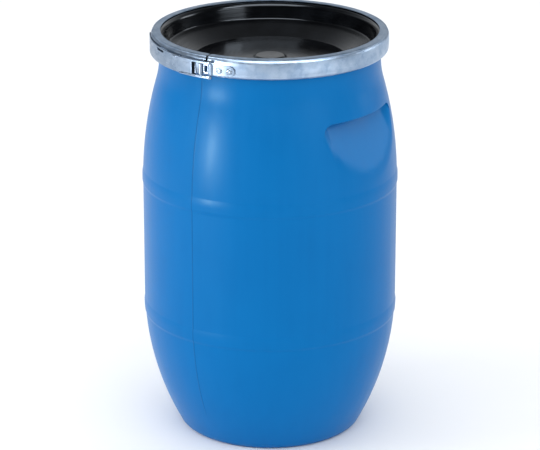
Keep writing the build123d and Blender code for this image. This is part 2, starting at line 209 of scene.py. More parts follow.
def new_material(name, color, roughness, metallic=0.0, specular=0.5):
    """A material with its node tree and its shader."""
    material = bpy.data.materials.new(name)
    material.use_nodes = True
    shader = material.node_tree.nodes["Principled BSDF"]
    shader.inputs["Base Color"].default_value = (*color, 1)
    shader.inputs["Roughness"].default_value = roughness
    shader.inputs["Metallic"].default_value = metallic
    shader.inputs["Specular IOR Level"].default_value = specular
    return material, material.node_tree, shader


def noise(tree, vector, scale, detail=3):
    """A noise pattern's value."""
    node = add(tree, "ShaderNodeTexNoise", {"Scale": scale, "Detail": detail})
    tree.links.new(vector, node.inputs["Vector"])
    return node.outputs["Fac"]


def remap(tree, value, low, high, start=0.35, end=0.65):
    """A value that goes from low to high as another goes from start to end."""
    node = add(
        tree,
        "ShaderNodeMapRange",
        {"From Min": start, "From Max": end, "To Min": low, "To Max": high},
    )
    tree.links.new(value, node.inputs["Value"])
    return node.outputs["Result"]


def calculate(tree, operation, *values):
    """A Math node's result, from sockets and plain numbers."""
    node = add(tree, "ShaderNodeMath", operation=operation)
    for socket, value in zip(node.inputs, values):
        if isinstance(value, (int, float)):
            socket.default_value = value
        else:
            tree.links.new(value, socket)
    return node.outputs[0]


def mix_colors(tree, factor, first, second):
    """Two colours mixed. Each is a socket or three numbers."""
    node = add(tree, "ShaderNodeMix", data_type="RGBA")
    tree.links.new(factor, node.inputs[0])
    for socket, value in ((node.inputs[6], first), (node.inputs[7], second)):
        if isinstance(value, tuple):
            socket.default_value = (*value, 1)
        else:
            tree.links.new(value, socket)
    return node.outputs[2]


def bumps(tree, shader, layers):
    """Bump layers, each a height, its strength and its depth in metres."""
    normal = None
    for height, strength, depth in layers:
        node = add(tree, "ShaderNodeBump", {"Strength": strength, "Distance": depth})
        tree.links.new(height, node.inputs["Height"])
        if normal is not None:
            tree.links.new(normal, node.inputs["Normal"])
        normal = node.outputs["Normal"]
    tree.links.new(normal, shader.inputs["Normal"])


def object_coordinates(tree, stretch=(1, 1, 1)):
    """The piece's own coordinates, scaled along each axis."""
    where = add(tree, "ShaderNodeTexCoord")
    mapping = add(tree, "ShaderNodeMapping", {"Scale": stretch})
    tree.links.new(where.outputs["Object"], mapping.inputs["Vector"])
    return mapping.outputs["Vector"]


def separated(tree, vector):
    """The X, Y and Z of a vector."""
    split = add(tree, "ShaderNodeSeparateXYZ")
    tree.links.new(vector, split.inputs[0])
    return split.outputs


def ring_coordinates(tree, along, across):
    """Coordinates about the drum's axis: the angle on one scale, radius and height on another."""
    where = add(tree, "ShaderNodeTexCoord")
    x, y, z = separated(tree, where.outputs["Object"])
    flat = add(tree, "ShaderNodeCombineXYZ")
    tree.links.new(x, flat.inputs["X"])
    tree.links.new(y, flat.inputs["Y"])
    radius = add(tree, "ShaderNodeVectorMath", operation="LENGTH")
    tree.links.new(flat.outputs[0], radius.inputs[0])
    joined = add(tree, "ShaderNodeCombineXYZ")
    angle = calculate(tree, "ARCTAN2", x, y)
    scaled = ((angle, along), (radius.outputs["Value"], across), (z, across))
    for socket, (value, scale) in zip(joined.inputs, scaled):
        tree.links.new(calculate(tree, "MULTIPLY", value, scale), socket)
    return joined.outputs[0]


def seam_painted_shade(tree, where):
    """Where painted shade darkens the drum's parting lines, fading in above the foot."""
    axes = separated(tree, where)
    across = calculate(tree, "ABSOLUTE", axes["X"])
    line = remap(tree, across, 1, 0, start=0.6 * MM, end=1.6 * MM)
    height = remap(tree, axes["Z"], 0, 0.45, start=SEAM_BOTTOM, end=100 * MM)
    return calculate(tree, "MULTIPLY", line, height)


def drum_plastic():
    """Satin blue polyethylene: fine grain, faint upright streaks, and painted shade along the parting
    line that stands in for the seam's shading.
    """
    deep = (0.0, 0.13, 0.385)
    middle = (0.0, 0.137, 0.4)
    pale = (0.0, 0.141, 0.41)
    # The colour of the painted shade along the parting line.
    line = (0.0, 0.05, 0.17)
    material, tree, shader = new_material("drum_plastic", (0.0, 0.132, 0.4), 0.34, specular=0.12)
    shader.inputs["Specular Tint"].default_value = (0.6, 0.95, 1, 1)
    whole = object_coordinates(tree)
    upright = object_coordinates(tree, stretch=(1, 1, 0.07))
    grain = noise(tree, whole, scale=620, detail=2)
    streaks = noise(tree, upright, scale=60)
    cloud = noise(tree, whole, scale=9, detail=4)
    color = mix_colors(tree, remap(tree, cloud, 0, 1), deep, middle)
    color = mix_colors(tree, remap(tree, streaks, 0, 0.5), color, pale)
    # Painted shade darkens the parting line.
    color = mix_colors(tree, seam_painted_shade(tree, whole), color, line)
    tree.links.new(color, shader.inputs["Base Color"])
    tree.links.new(remap(tree, streaks, 0.31, 0.36), shader.inputs["Roughness"])
    bumps(tree, shader, [(streaks, 0.12, 0.6 * MM), (grain, 0.22, 0.4 * MM)])
    return material


def lid_plastic():
    """Black moulded polyethylene, glossier than the drum, with streaks that run round it."""
    black = (0.001, 0.0011, 0.0015)
    dusty = (0.0035, 0.004, 0.005)
    material, tree, shader = new_material("lid_plastic", (0.002, 0.002, 0.003), 0.2)
    shader.inputs["Specular Tint"].default_value = (0.78, 0.88, 1, 1)
    whole = object_coordinates(tree)
    grain = noise(tree, whole, scale=480)
    streaks = noise(tree, ring_coordinates(tree, 2, 240), scale=1)
    dust = noise(tree, whole, scale=26, detail=5)
    color = mix_colors(tree, remap(tree, dust, 0, 1), black, dusty)
    tree.links.new(color, shader.inputs["Base Color"])
    tree.links.new(remap(tree, streaks, 0.12, 0.18), shader.inputs["Roughness"])
    bumps(tree, shader, [(streaks, 0.15, 0.5 * MM), (grain, 0.12, 0.3 * MM)])
    return material


def gasket_rubber():
    """Matte grey foam rubber with fine cells."""
    dark = (0.055, 0.055, 0.06)
    soiled = (0.1, 0.1, 0.105)
    material, tree, shader = new_material("gasket_rubber", (0.07, 0.07, 0.075), 0.85, specular=0.2)
    whole = object_coordinates(tree)
    cells = add(tree, "ShaderNodeTexVoronoi", {"Scale": 1100})
    tree.links.new(whole, cells.inputs["Vector"])
    soil = noise(tree, whole, scale=60, detail=4)
    color = mix_colors(tree, remap(tree, soil, 0, 1), dark, soiled)
    tree.links.new(color, shader.inputs["Base Color"])
    bumps(tree, shader, [(cells.outputs["Distance"], 0.5, 0.4 * MM)])
    return material


def spangle_cells(tree, where, scale):
    """A zinc coating's crystals, with crooked borders: two random values for each crystal."""
    warp = add(tree, "ShaderNodeTexNoise", {"Scale": 0.6 * scale, "Detail": 2})
    tree.links.new(where, warp.inputs["Vector"])
    moved = add(tree, "ShaderNodeVectorMath", operation="MULTIPLY_ADD")
    moved.inputs[1].default_value = (6 * MM, 6 * MM, 6 * MM)
    tree.links.new(warp.outputs["Color"], moved.inputs[0])
    tree.links.new(where, moved.inputs[2])
    cells = add(tree, "ShaderNodeTexVoronoi", {"Scale": scale})
    tree.links.new(moved.outputs[0], cells.inputs["Vector"])
    split = add(tree, "ShaderNodeSeparateColor")
    tree.links.new(cells.outputs["Color"], split.inputs[0])
    return split.outputs[0], split.outputs[1]


def steel(name, dark, light, roughness, spangle):
    """Zinc-coated steel: soft spangle, fine marks along the rolling direction, dull patches."""
    bright = tuple(min(1, 1.12 * c) for c in light)
    material, tree, shader = new_material(name, dark, roughness, metallic=1.0)
    whole = object_coordinates(tree)
    tone, sheen = spangle_cells(tree, whole, spangle)
    patches = noise(tree, whole, scale=38, detail=5)
    marks = noise(tree, ring_coordinates(tree, 5, 500), scale=1, detail=4)
    color = mix_colors(tree, remap(tree, patches, 0, 1), dark, light)
    color = mix_colors(tree, remap(tree, tone, 0, 0.35, start=0.2, end=0.9), color, bright)
    tree.links.new(color, shader.inputs["Base Color"])
    cell_rough = remap(tree, sheen, -0.05, 0.06, start=0.1, end=0.9)
    mark_rough = remap(tree, marks, roughness - 0.05, roughness + 0.08)
    tree.links.new(calculate(tree, "ADD", cell_rough, mark_rough), shader.inputs["Roughness"])
    bumps(tree, shader, [(marks, 0.12, 0.3 * MM), (patches, 0.1, 0.6 * MM)])
    return material


def floor_paint():
    """White paint with faint wear."""
    worn = (0.94, 0.94, 0.945)
    clean = (0.955, 0.955, 0.96)
    material, tree, shader = new_material("floor_paint", (0.95, 0.95, 0.95), 0.7, specular=0.1)
    wear = noise(tree, object_coordinates(tree), scale=3)
    color = mix_colors(tree, remap(tree, wear, 0, 1), worn, clean)
    tree.links.new(color, shader.inputs["Base Color"])
    return material


DRUM = drum_plastic()
LID = lid_plastic()
GASKET = gasket_rubber()
BAND = steel("band_steel", (0.23, 0.325, 0.46), (0.35, 0.44, 0.56), 0.38, 130)
LATCH = steel("latch_steel", (0.18, 0.25, 0.345), (0.28, 0.35, 0.45), 0.34, 150)
RIVET = steel("rivet_steel", (0.26, 0.33, 0.42), (0.38, 0.45, 0.53), 0.28, 220)

# ------------------------------------------------------------------ mesh tools

SHARP = radians(38)


def new_piece(name, vertices, faces, material):
    """An object from vertices and faces, with its normals turned outwards and smooth shading."""
    mesh = bpy.data.meshes.new(name)
    mesh.from_pydata([tuple(v) for v in vertices], [], faces)
    work = bmesh.new()
    work.from_mesh(mesh)
    bmesh.ops.remove_doubles(work, verts=work.verts, dist=MM / 1000)
    loose = [edge for edge in work.edges if not edge.link_faces]
    bmesh.ops.delete(work, geom=loose, context="EDGES")
    bmesh.ops.recalc_face_normals(work, faces=work.faces)
    work.to_mesh(mesh)
    work.free()
    mesh.shade_smooth()
    mesh.set_sharp_from_angle(angle=SHARP)
    mesh.materials.append(material)
    piece = bpy.data.objects.new(name, mesh)
    bpy.context.scene.collection.objects.link(piece)
    return piece


def place(piece, body, slot, *nodes):
    """The piece rides on a body and stands for CAD nodes, which are hidden. The slot is not used."""
    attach(piece, body)
    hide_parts(*nodes)


def rounded(points, radii, step=radians(12)):
    """An open line with its inner corners rounded, one radius for each."""
    line = [Vector(points[0])]
    for before, corner, after, radius in zip(points, points[1:], points[2:], radii):
        corner = Vector(corner)
        to_before = (Vector(before) - corner).normalized()
        to_after = (Vector(after) - corner).normalized()
        half = acos(max(-1, min(1, to_before.dot(to_after)))) / 2
        reach = radius / tan(half)
        centre = corner + (to_before + to_after).normalized() * radius / sin(half)
        start = corner + to_before * reach - centre
        end = corner + to_after * reach - centre
        bend = start.angle_signed(end)
        count = max(2, round(abs(bend) / step))
        line += [centre + turned(start, -bend * n / count) for n in range(count + 1)]
    line.append(Vector(points[-1]))
    return line


def densified(line, step):
    """The same line with points added, about a step apart."""
    out = [line[0]]
    for a, b in zip(line, line[1:]):
        count = max(1, round((b - a).length / step))
        out += [a.lerp(b, n / count) for n in range(1, count + 1)]
    return out


def sides(line, thickness):
    """A line's two offsets, at half the thickness to its left and to its right."""
    left, right = [], []
    for n, point in enumerate(line):
        ahead = line[min(n + 1, len(line) - 1)] - line[max(n - 1, 0)]
        normal = Vector((-ahead.y, ahead.x)).normalized() * thickness / 2
        left.append(point + normal)
        right.append(point - normal)
    return left, right


def edged(left, right):
    """A closed section from two sides, with both of its ends rounded off."""
    def round_end(a, b, before):
        out = (a - before).normalized()
        middle = (a + b) / 2
        half = (a - b) / 2
        angles = [pi * n / 4 for n in range(1, 4)]
        return [middle + half * cos(t) + out * half.length * 0.6 * sin(t) for t in angles]

    far = round_end(left[-1], right[-1], left[-2])
    near = round_end(right[0], left[0], right[1])
    return left + far + right[::-1] + near


def sweep(name, section, place_at, count, material, closed=False):
    """A closed section carried along a path. place_at gives, for a share of the way and a section
    point, that point's place."""
    rings = count if closed else count + 1
    size = len(section)
    vertices = [place_at(k / count, p) for k in range(rings) for p in section]
    faces = []
    for k in range(count):
        a = k * size
        b = (k + 1) % rings * size
        for i in range(size):
            j = (i + 1) % size
            faces.append((a + i, a + j, b + j, b + i))
    if not closed:
        faces.append(tuple(range(size)))
        faces.append(tuple(reversed(range(count * size, rings * size))))
    return new_piece(name, vertices, faces, material)


def lathe(name, section, count, material):
    """A closed section in (radius, height), turned about the drum's axis."""
    def place_at(share, p):
        return spot(p.x, 2 * pi * share, p.y)

    return sweep(name, section, place_at, count, material, closed=True)


def wrapped(count, size):
    """The faces between columns of points that stand all the way round."""
    faces = []
    for k in range(count):
        a = k * size
        b = (k + 1) % count * size
        faces += [(a + i, b + i, b + i + 1, a + i + 1) for i in range(size - 1)]
    return faces


def spun(name, profile, origin, out, material, count=40):
    """A small turned part: an open profile in (radius, height) about its own axis."""
    side = out.orthogonal().normalized()
    other = out.cross(side)
    vertices = []
    for k in range(count):
        angle = 2 * pi * k / count
        across = side * cos(angle) + other * sin(angle)
        vertices += [origin + across * r + out * h for r, h in profile]
    size = len(profile)
    faces = wrapped(count, size)
    faces.append(tuple(range(0, count * size, size)))
    faces.append(tuple(range(size - 1, count * size, size)))
    return new_piece(name, vertices, faces, material)


def prism(name, bottom, top, material):
    """A closed solid between two outlines with the same number of points."""
    count = len(bottom)
    faces = [tuple(range(count)), tuple(range(count, 2 * count))]
    faces += [(i, (i + 1) % count, (i + 1) % count + count, i + count) for i in range(count)]
    return new_piece(name, bottom + top, faces, material)


def plate(name, outline, low, high, material):
    """A flat plate from its outline in plan, between two heights."""
    bottom = [(p.x, p.y, low) for p in outline]
    top = [(p.x, p.y, high) for p in outline]
    return prism(name, bottom, top, material)


def apply_modifiers(piece):
    """The piece's mesh becomes what its modifiers make of it."""
    bpy.context.view_layer.update()
    shown = piece.evaluated_get(bpy.context.evaluated_depsgraph_get())
    mesh = bpy.data.meshes.new_from_object(shown)
    piece.modifiers.clear()
    piece.data = mesh


def clean(mesh):
    """Slivers thinner than a hundredth of a millimetre are closed up."""
    work = bmesh.new()
    work.from_mesh(mesh)
    bmesh.ops.dissolve_degenerate(work, dist=0.01 * MM, edges=work.edges)
    work.to_mesh(mesh)
    work.free()


def combine(piece, others, operation="UNION"):
    """Others are joined to, or cut from, the piece, and removed."""
    for other in others:
        change = piece.modifiers.new("combine", "BOOLEAN")
        change.operation = operation
        change.solver = "EXACT"
        change.object = other
        apply_modifiers(piece)
        bpy.data.objects.remove(other)
    clean(piece.data)


def soften(piece, width):
    """Small rounded edges, applied to the mesh."""
    bevel = piece.modifiers.new("soften", "BEVEL")
    bevel.width = width
    bevel.segments = 2
    bevel.limit_method = "ANGLE"
    bevel.angle_limit = SHARP
    apply_modifiers(piece)
    clean(piece.data)
    piece.data.shade_smooth()
    piece.data.set_sharp_from_angle(angle=SHARP)


# ------------------------------------------------------------------ the drum

NECK_REACH = UPPER_ARC + NECK_BLEND
NECK_SPAN = NECK_RADIUS + NECK_BLEND - (BODY_RADIUS - UPPER_ARC)
NECK_END_Z = UPPER_TANGENT_Z + sqrt(NECK_REACH**2 - NECK_SPAN**2)
NECK_START_Z = UPPER_TANGENT_Z + (NECK_END_Z - UPPER_TANGENT_Z) * UPPER_ARC / NECK_REACH


def barrel_radius(z):
    """The barrel's outer radius at a height, without hoops."""
    if z < LOWER_TANGENT_Z:
        return BODY_RADIUS - LOWER_ARC + sqrt(LOWER_ARC**2 - (LOWER_TANGENT_Z - z) ** 2)
    if z < UPPER_TANGENT_Z:
        return BODY_RADIUS
    if z < NECK_START_Z:
        return BODY_RADIUS - UPPER_ARC + sqrt(UPPER_ARC**2 - (z - UPPER_TANGENT_Z) ** 2)
    if z < NECK_END_Z:
        return NECK_RADIUS + NECK_BLEND - sqrt(NECK_BLEND**2 - (NECK_END_Z - z) ** 2)
    return NECK_RADIUS


def hoop_height(z):
    """How far the two rolling hoops stand out at a height."""
    away = min(abs(z - h) for h in HOOP_HEIGHTS)
    return HOOP_PROUD * smooth_step((HOOP_HALF - away) / HOOP_EDGE)


def seam_height(angle, z):
    """How far the two parting lines stand out."""
    away = abs(sin(angle)) * BODY_RADIUS / SEAM_HALF
    return SEAM_PROUD * smooth_step((z - SEAM_BOTTOM) / SEAM_FADE) * smooth_step(1.25 - away)


def grip_line(side):
    """How far a grip's top edge has dropped at a distance to the side of its middle."""
    over = max(0.0, min(side - (GRIP_HALF - GRIP_CORNER), GRIP_CORNER))
    return sqrt(GRIP_CORNER**2 - over**2) - GRIP_CORNER


def grip_radius(angle, z, body):
    """The radius inside a hand grip, which is a slanting flat cut with soft borders."""
    facing = abs(sin(angle))
    if facing < GRIP_FACING:
        return body
    tilt = (GRIP_LOW_X - GRIP_DEEP_X) / (GRIP_TOP - GRIP_LOW)
    cut = (GRIP_DEEP_X + (GRIP_TOP - z) * tilt) / facing
    side = body * abs(cos(angle))
    cheek = max(0.0, side - (GRIP_HALF - GRIP_CHEEK)) / GRIP_CHEEK
    cut += GRIP_CHEEK_RISE * cheek**2
    return min(body, soft_min(body, cut, GRIP_SOFTNESS))


def row_step(z):
    """How far up the next row of the drum's side is: less where the side has detail."""
    if min(abs(abs(z - h) - HOOP_HALF) for h in HOOP_HEIGHTS) < 8 * MM:
        return 1.5 * MM
    if GRIP_LOW - 25 * MM < z < GRIP_TOP + 10 * MM:
        return 3 * MM
    return 7 * MM


def side_rows():
    """The rows of the drum's side. Each is a height and a share: 0 is on a grip's face, 1 is on
    the barrel, and a share between is on the ledge over the grip, with its two soft edges."""
    ledge = [(-3, 0), (-1.2, 0.02), (-0.3, 0.07), (0, 0.14), (0, 0.5), (0, 0.9)]
    ledge += [(0.25, 0.965), (0.8, 0.99), (2.2, 1)]
    rows = [(GRIP_TOP + rise * MM, share) for rise, share in ledge]
    z = SIDE_BOTTOM
    while z < BEAD_BOTTOM - MM:
        if abs(z - GRIP_TOP) > 3.2 * MM:
            rows.append((z, 1 if z > GRIP_TOP else 0))
        z += row_step(z)
    return sorted(rows)


def columns():
    """The angles of the drum's columns, closer together at the two parting lines."""
    count = 480
    angles = [2 * pi * n / count for n in range(count)]
    half = SEAM_HALF / BODY_RADIUS
    for seam in (0, pi):
        angles += [seam + half * share for share in (-1.5, -1, -0.5, 0.5, 1, 1.5)]
    return sorted(a % (2 * pi) for a in angles)


def side_point(angle, z, share, inset):
    """The radius and height of a point in a row of the side, set in by inset."""
    if abs(sin(angle)) > GRIP_FACING:
        side = barrel_radius(z) * abs(cos(angle))
        fade = smooth_step((1.45 * GRIP_HALF - side) / (0.35 * GRIP_HALF))
        near = smooth_step(1 - abs(z - GRIP_TOP) / GRIP_BEND_HEIGHT)
        z += grip_line(side) * fade * near
    body = barrel_radius(z)
    radius = body
    if share < 1:
        cut = grip_radius(angle, z, body)
        radius = cut + (body - cut) * share
    radius += min(HOOP_PROUD, hoop_height(z) + seam_height(angle, z))
    return (radius - inset, z)


def foot_profile():
    """The raised base and the foot ring, from the middle outwards."""
    foot = barrel_radius(0)
    inside = foot - FOOT_WIDTH
    return [
        (0.0, BASE_RISE),
        (inside - 10 * MM, BASE_RISE),
        (inside - 4 * MM, BASE_RISE - 1 * MM),
        (inside + 1 * MM, 1.5 * MM),
        (inside + 4 * MM, 0.0),
        (foot - 7 * MM, 0.0),
        (foot - 3.5 * MM, 0.6 * MM),
        (foot - 0.8 * MM, 2.4 * MM),
    ]


def mouth_profile():
    """The mouth bead and the lip above it, from the neck's outside over to its inside."""
    inside = NECK_RADIUS - WALL
    return [
        (NECK_RADIUS, BEAD_BOTTOM - 0.2 * MM),
        (NECK_RADIUS + 1 * MM, BEAD_BOTTOM),
        (BEAD_RADIUS - 2 * MM, BEAD_BOTTOM),
        (BEAD_RADIUS - 0.6 * MM, BEAD_BOTTOM + 0.6 * MM),
        (BEAD_RADIUS, BEAD_BOTTOM + 2 * MM),
        (BEAD_RADIUS, BEAD_TOP - 5 * MM),
        (BEAD_RADIUS - 1 * MM, BEAD_TOP - 3.6 * MM),
        (NECK_RADIUS + 3 * MM, BEAD_TOP - 0.4 * MM),
        (NECK_RADIUS + 0.6 * MM, BEAD_TOP + 0.8 * MM),
        (NECK_RADIUS, BEAD_TOP + 2 * MM),
        (NECK_RADIUS, MOUTH_TOP - 1.2 * MM),
        (NECK_RADIUS - 0.5 * MM, MOUTH_TOP - 0.3 * MM),
        (NECK_RADIUS - 1.4 * MM, MOUTH_TOP),
        (inside + 1.4 * MM, MOUTH_TOP),
        (inside + 0.4 * MM, MOUTH_TOP - 0.4 * MM),
        (inside, MOUTH_TOP - 1.4 * MM),
    ]


def drum_body():
    """The blow-moulded drum, outside and inside, as one closed skin."""
    angles = columns()
    rows = side_rows()
    floor_top = BASE_RISE + WALL
    inner_rows = [row for row in rows[::3] if row[0] > floor_top + WALL]
    inner_bottom = [(barrel_radius(BASE_RISE) - WALL - 3 * MM, floor_top), (0.0, floor_top)]
    vertices = []
    for angle in angles:
        column = foot_profile()
        column += [side_point(angle, z, share, 0) for z, share in rows]
        column += mouth_profile()
        column += [side_point(angle, z, share, WALL) for z, share in reversed(inner_rows)]
        column += inner_bottom
        vertices += [spot(radius, angle, z) for radius, z in column]
    piece = new_piece("drum_shell", vertices, wrapped(len(angles), len(column)), DRUM)
    place(piece, "drum", "drum_plastic", "drum_body")


# ------------------------------------------------------------------ lid and gasket

def lid():
    """The dished lid: rim channel, wall, sloping ledge, flat floor and a low raised disc."""
    half = LID_SHEET / 2
    skirt = lid_high.x - half
    top = lid_high.z - half
    floor = LEDGE_INNER[1]
    points = [
        (skirt, SKIRT_BOTTOM),
        (skirt, top),
        (RIM_INNER_RADIUS, top),
        LEDGE_OUTER,
        LEDGE_INNER,
        (DISC_FOOT_RADIUS, floor),
        (DISC_TOP_RADIUS, floor + DISC_RISE),
        (0.0, floor + DISC_RISE),
    ]
    line = densified(rounded(points, LID_BENDS, radians(6)), 2.5 * MM)
    under, over = sides(line, LID_SHEET)
    over[-1].x = 0.0
    under[-1].x = 0.0
    piece = lathe("lid_shell", over + under[::-1], 288, LID)
    place(piece, "lid", "lid_plastic", "lid")


def gasket():
    """The sealing ring, whose inner part is pressed in by the drum's mouth."""
    outer = gasket_high.x
    low = gasket_low.z
    high = gasket_high.z
    dent = low + GASKET_DENT
    corners = [
        (GASKET_INNER_RADIUS, high),
        (GASKET_INNER_RADIUS, dent),
        (NECK_RADIUS + 0.4 * MM, dent),
        (NECK_RADIUS + 0.9 * MM, low),
        (outer - 0.6 * MM, low),
        (outer, low + 1 * MM),
        (outer, high),
    ]
    piece = lathe("gasket_ring", [Vector(c) for c in corners], 240, GASKET)
    place(piece, "lid", "gasket_rubber", "lid_gasket")


# ------------------------------------------------------------------ clamping band

def band_line():
    """The middle of the band's sheet: drooping top lip, shoulder, crowned side and lower lip."""
    half = BAND_SHEET / 2
    side = BAND_RADIUS - half
    top = BAND_TOP - half
    bottom = BAND_BOTTOM + half
    points = [
        (TOP_LIP_RADIUS, top - TOP_LIP_DROOP),
        (TOP_LIP_BEND, top),
        (side, top),
        (side, bottom),
        (LOWER_LIP_RADIUS, bottom),
    ]
    line = densified(rounded(points, BAND_BENDS, radians(9)), 2 * MM)
    waist = BAND_BOTTOM + GROOVE_RISE
    middle = (BAND_TOP + BAND_BOTTOM) / 2
    for point in line:
        if point.x > side - 3 * MM:
            point.x -= GROOVE_DEPTH * max(0.0, 1 - abs(point.y - waist) / GROOVE_HALF)
            point.x -= CROWN_DEPTH * min(1, ((point.y - middle) / CROWN_HALF) ** 2)
    return line


def clamp_band():
    """Two halves of the one-piece band. The left half rides on the band; the right half is built in
    place and rides on no body.
    """
    line = band_line()
    section = edged(*sides(line, BAND_SHEET))

    def half_ring(name, turn):
        def place_at(share, p):
            near_lip = min((p - line[0]).length, (p - line[-1]).length)
            start = (GAP_HALF + corner_setback(near_lip, BAND_CORNER)) / BAND_RADIUS
            return spot(p.x, GAP_ANGLE + turn * (start + (pi - start) * share), p.y)

        return sweep(name, section, place_at, 220, BAND)

    place(half_ring("band_left", -1), "band", "band_steel", "clamp_band")
    right = half_ring("band_right", 1)
    still = polar(BAND_RADIUS, atan2(SPRING_POINT.x, -SPRING_POINT.y))
    moving = polar(BAND_RADIUS, GAP_ANGLE + SPRUNG_ARC)
    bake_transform(right)
    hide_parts("clamp_band")


# ------------------------------------------------------------------ latch

# The lever's inner face is one arc through three points, at its free end, at -32 degrees and at
# the window. Rises are above the latch's middle.
LATCH_SHEET = 1.6 * MM
LEVER_HALF = 15.5 * MM
LEVER_FREE = radians(-56.5)
LEVER_STEP = radians(-9.6)
LEVER_WINDOW = radians(-1.2)
LEVER_CENTRE, LEVER_INNER = circle_through(
    polar(227.1 * MM, LEVER_FREE),
    polar(228.6 * MM, radians(-32)),
    polar(234.6 * MM, LEVER_WINDOW),
)
LEVER_RADIUS = LEVER_INNER + LATCH_SHEET / 2
LEVER_CORNER = 8 * MM
EAR_HALF = 3.8 * MM
EAR_RISE = 13.7 * MM
EAR_START = radians(-5.5)
SLOT_ANGLE = radians(-26.2)
SLOT_RISE = 10.8 * MM
SLOT_SIZE = (30 * MM, 4.6 * MM)
BUMP_ANGLE = radians(-13)
BUMP_RISE = 11.5 * MM
BUMP_FOOT = (16 * MM, 6 * MM)
BUMP_CROWN = (13.6 * MM, 3.8 * MM)
BUMP_PROUD = 2.6 * MM
HOOK_PIN = polar(231.1 * MM, radians(3.05))
PIN_RADIUS = 2.5 * MM
TIP_RADIUS = 0.2 * MM
PLATE = 1.8 * MM
PLATE_INNER = BAND_RADIUS + 0.2 * MM
BRACKET_HALF = 15.5 * MM
BRACKET_START = radians(-8.5)
BRACKET_END = radians(-0.5)
BRACKET_ARM_HALF = 4.5 * MM
BRACKET_RIVET_ANGLE = radians(-4.5)
BRACKET_RIVET_RISES = (-6 * MM, 6 * MM)
TONGUE_HALF = 10 * MM
TONGUE_END = radians(20.1)
TONGUE_RIB_RADIUS = 4.8 * MM
TONGUE_RIB_START = radians(12)
TONGUE_CURL = radians(215)
TONGUE_WINDOW = radians(5.5)
TONGUE_WINDOW_HALF = 3.5 * MM
TONGUE_WINDOW_DEPTH = 4 * MM
TONGUE_WINDOW_RISE = 6 * MM
TONGUE_RIVET_ANGLES = (radians(12.3), radians(17.4))
STRAP_STEPS = 16


def heights(side, first, second):
    """Two rises above (side 1) or below (side -1) the latch's middle, as heights in order."""
    return sorted((LATCH_Z + side * first, LATCH_Z + side * second))


def arm_outline(half_width, outer_start, inner_start):
    """A plan strip about the pivot's circle, from two starts to a round end on the pivot."""
    centre = polar(PIVOT_RADIUS, PIVOT_ANGLE)
    out = centre.normalized() * half_width
    tip = [centre + turned(out, pi * n / 10) for n in range(1, 10)]
    outer = arc(PIVOT_RADIUS + half_width, outer_start, PIVOT_ANGLE, 14)
    inner = arc(PIVOT_RADIUS - half_width, PIVOT_ANGLE, inner_start, 14)
    return outer + tip + inner


def lever_point(angle):
    """The middle of the lever's sheet at an angle about the drum, and its outward direction."""
    ray = polar(1, angle)
    along = ray.dot(LEVER_CENTRE)
    reach = along + sqrt(along**2 - LEVER_CENTRE.length_squared + LEVER_RADIUS**2)
    point = ray * reach
    return point, (point - LEVER_CENTRE).normalized()


def lever_face(angle, rise):
    """A place on the lever, the direction along the lever and the outward direction."""
    point, normal = lever_point(angle)
    out = Vector((*normal, 0))
    return Vector((*point, LATCH_Z + rise)), out.cross(UP), out


def stadium(origin, along, size):
    """An upright outline with round ends, its length running along a direction."""
    length, height = size
    radius = height / 2
    outline = []
    for end in (1, -1):
        middle = origin + along * end * (length / 2 - radius)
        for n in range(13):
            angle = -pi / 2 + pi * n / 12
            outline.append(middle + (along * cos(angle) + UP * sin(angle)) * end * radius)
    return outline


def lever_strip():
    """The lever's curved strip, with round corners at its free end."""
    rises = [-LEVER_HALF + 2 * LEVER_HALF * n / 30 for n in range(31)]
    section = edged(*sides([Vector((0.0, rise)) for rise in rises], LATCH_SHEET))

    def place_at(share, p):
        near_edge = max(LEVER_HALF - abs(p.y), 0.0)
        start = LEVER_FREE + corner_setback(near_edge, LEVER_CORNER) / BAND_RADIUS
        point, normal = lever_point(start + (LEVER_WINDOW - start) * share)
        return Vector((*(point + normal * p.x), LATCH_Z + p.y))

    return sweep("lever_strip", section, place_at, 90, LATCH)


def latch_lever():
    """The lever: strip, narrower end, ears, slot and the small pressed bump."""
    lever = lever_strip()
    step = lever_point(LEVER_STEP)[0]
    end = lever_point(LEVER_WINDOW)[0]
    margin = 0.02
    within, beyond = 1 - margin, 1 + margin
    past = turned(end, pi / 2) * margin / 2
    beside = [step * within, end * within + past, end * beyond + past, step * beyond]
    ear = arm_outline(EAR_HALF, EAR_START, EAR_START)
    trims, ears = [], []
    for side in (-1, 1):
        trims.append(plate("trim", beside, *heights(side, EAR_RISE, 2 * LEVER_HALF), LATCH))
        ears.append(plate("ear", ear, *heights(side, EAR_RISE, EAR_RISE - LATCH_SHEET), LATCH))
    combine(lever, trims, "DIFFERENCE")
    combine(lever, ears)

    origin, along, out = lever_face(SLOT_ANGLE, SLOT_RISE)
    through = out * 6 * MM
    slot = stadium(origin, along, SLOT_SIZE)
    cutter = prism("cutter", [p - through for p in slot], [p + through for p in slot], LATCH)
    combine(lever, [cutter], "DIFFERENCE")

    origin, along, out = lever_face(BUMP_ANGLE, BUMP_RISE)
    foot = stadium(origin, along, BUMP_FOOT)
    crown = stadium(origin + out * BUMP_PROUD, along, BUMP_CROWN)
    combine(lever, [prism("bump", foot, crown, LATCH)])
    soften(lever, 0.35 * MM)
    place(lever, "lever", "latch_steel", "latch_lever")


def hook_pin():
    """The pin across the lever, between its ears."""
    shoulder = 0.96 * EAR_RISE
    flat = PIN_RADIUS - 0.5 * MM
    profile = [
        (TIP_RADIUS, -EAR_RISE),
        (flat, -EAR_RISE),
        (PIN_RADIUS, -shoulder),
        (PIN_RADIUS, shoulder),
        (flat, EAR_RISE),
        (TIP_RADIUS, EAR_RISE),
    ]
    piece = spun("hook_pin_bar", profile, Vector((*HOOK_PIN, LATCH_Z)), UP, RIVET)
    place(piece, "lever", "rivet_steel", "hook_pin")


